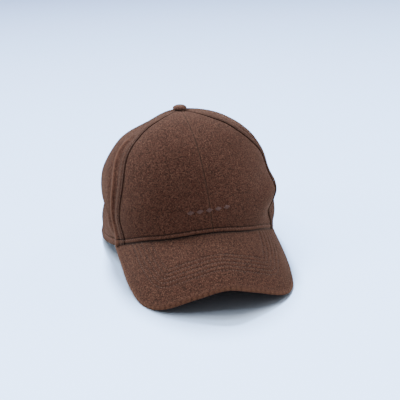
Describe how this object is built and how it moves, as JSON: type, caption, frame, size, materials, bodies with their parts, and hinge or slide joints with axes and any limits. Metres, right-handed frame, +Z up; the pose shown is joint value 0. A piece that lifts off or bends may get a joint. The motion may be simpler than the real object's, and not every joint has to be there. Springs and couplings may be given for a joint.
{
  "type": "peaked cap",
  "caption": "Wool peaked cap with a panelled crown, a curved peak with rows of stitching, a covered button and a closed back.",
  "frame": {"origin": "on the surface that the cap stands on, under the middle of its bounding box", "axes": "+Z up, the peak points to -Y, +X is the wearer's left"},
  "size_m": [0.1766, 0.2576, 0.1399],
  "materials": {
    "crown_cloth": "brushed heathered wool, dark brown with paler fibres",
    "peak_cloth": "the same wool laid over a stiff board",
    "button_cloth": "the same wool stretched over a button"
  },
  "bodies": {
    "root": {"front_panel_left": "crown_cloth", "front_panel_right": "crown_cloth", "side_panel_left": "crown_cloth", "side_panel_right": "crown_cloth", "back_panel_left": "crown_cloth", "back_panel_right": "crown_cloth", "peak": "peak_cloth", "top_button": "button_cloth"}
  },
  "joints": []
}
